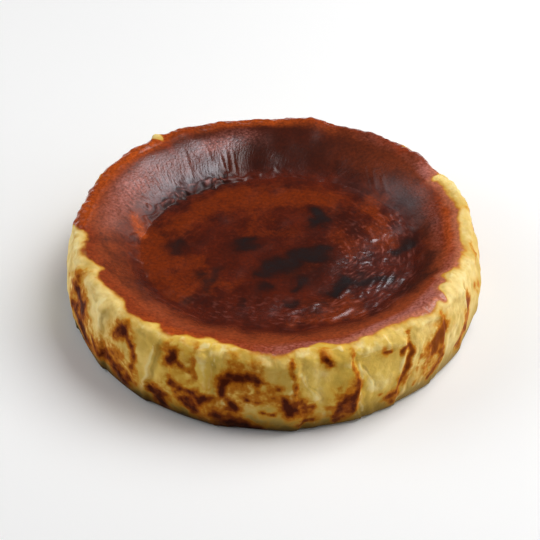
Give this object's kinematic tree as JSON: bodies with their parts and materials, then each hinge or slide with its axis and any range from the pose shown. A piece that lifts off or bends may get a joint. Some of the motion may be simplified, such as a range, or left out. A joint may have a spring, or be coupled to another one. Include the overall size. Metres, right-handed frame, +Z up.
{
  "type": "basque cheesecake",
  "caption": "Whole round burnt-top cheesecake with pleated cream sides, a lumpy rim and a shallow sunken top.",
  "frame": {"origin": "middle of the footprint on the flat base", "axes": "+Z up through the cake, -Y towards the front seen in the picture, +X to its right"},
  "size_m": [0.2054, 0.2062, 0.0418],
  "materials": {
    "baked_cheesecake": "satin pale yellow baked cream with brown scorch marks down the side, and a glossy dark red-brown burnt crust on top"
  },
  "bodies": {
    "root": {"cheesecake": "baked_cheesecake"}
  },
  "joints": []
}
